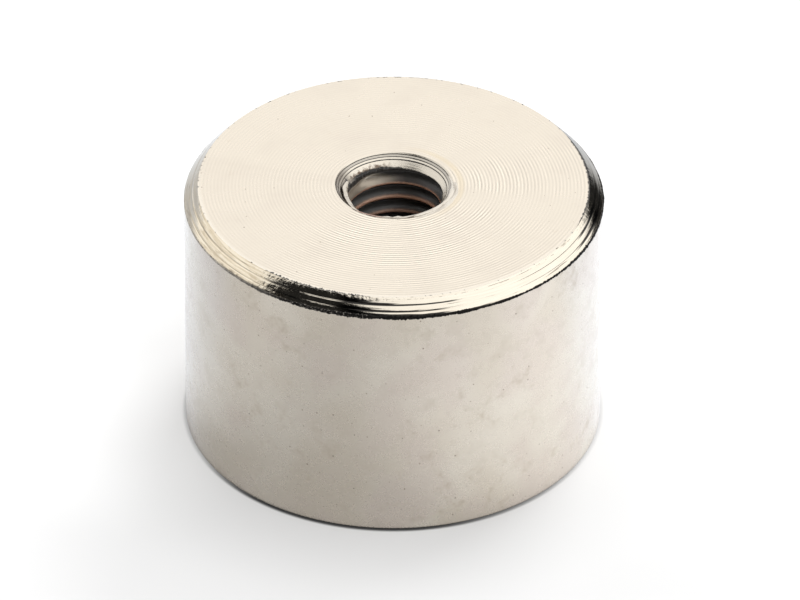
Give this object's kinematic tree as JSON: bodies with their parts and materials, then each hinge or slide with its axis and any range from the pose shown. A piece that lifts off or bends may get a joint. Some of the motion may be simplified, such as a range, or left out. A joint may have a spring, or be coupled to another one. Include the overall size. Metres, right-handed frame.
{
  "type": "pot magnet",
  "caption": "Deep round pot magnet: nickel-plated turned steel pot, chamfered back with a countersunk blind threaded hole, disc magnet set in resin in the holding face.",
  "frame": {"origin": "centre of the holding face, where the magnet and the pot's rim are ground flush", "axes": "+Z along the pot's axis, from the holding face out of the threaded back; X and Y lie in the holding face, and the pot looks the same from any side"},
  "size_m": [0.0226, 0.0224, 0.0146],
  "materials": {
    "plated_steel": "satin",
    "ground_magnet": "satin",
    "resin": "gloss"
  },
  "bodies": {
    "root": {"pot": "plated_steel", "magnet": "ground_magnet", "resin_ring": "resin"}
  },
  "joints": []
}
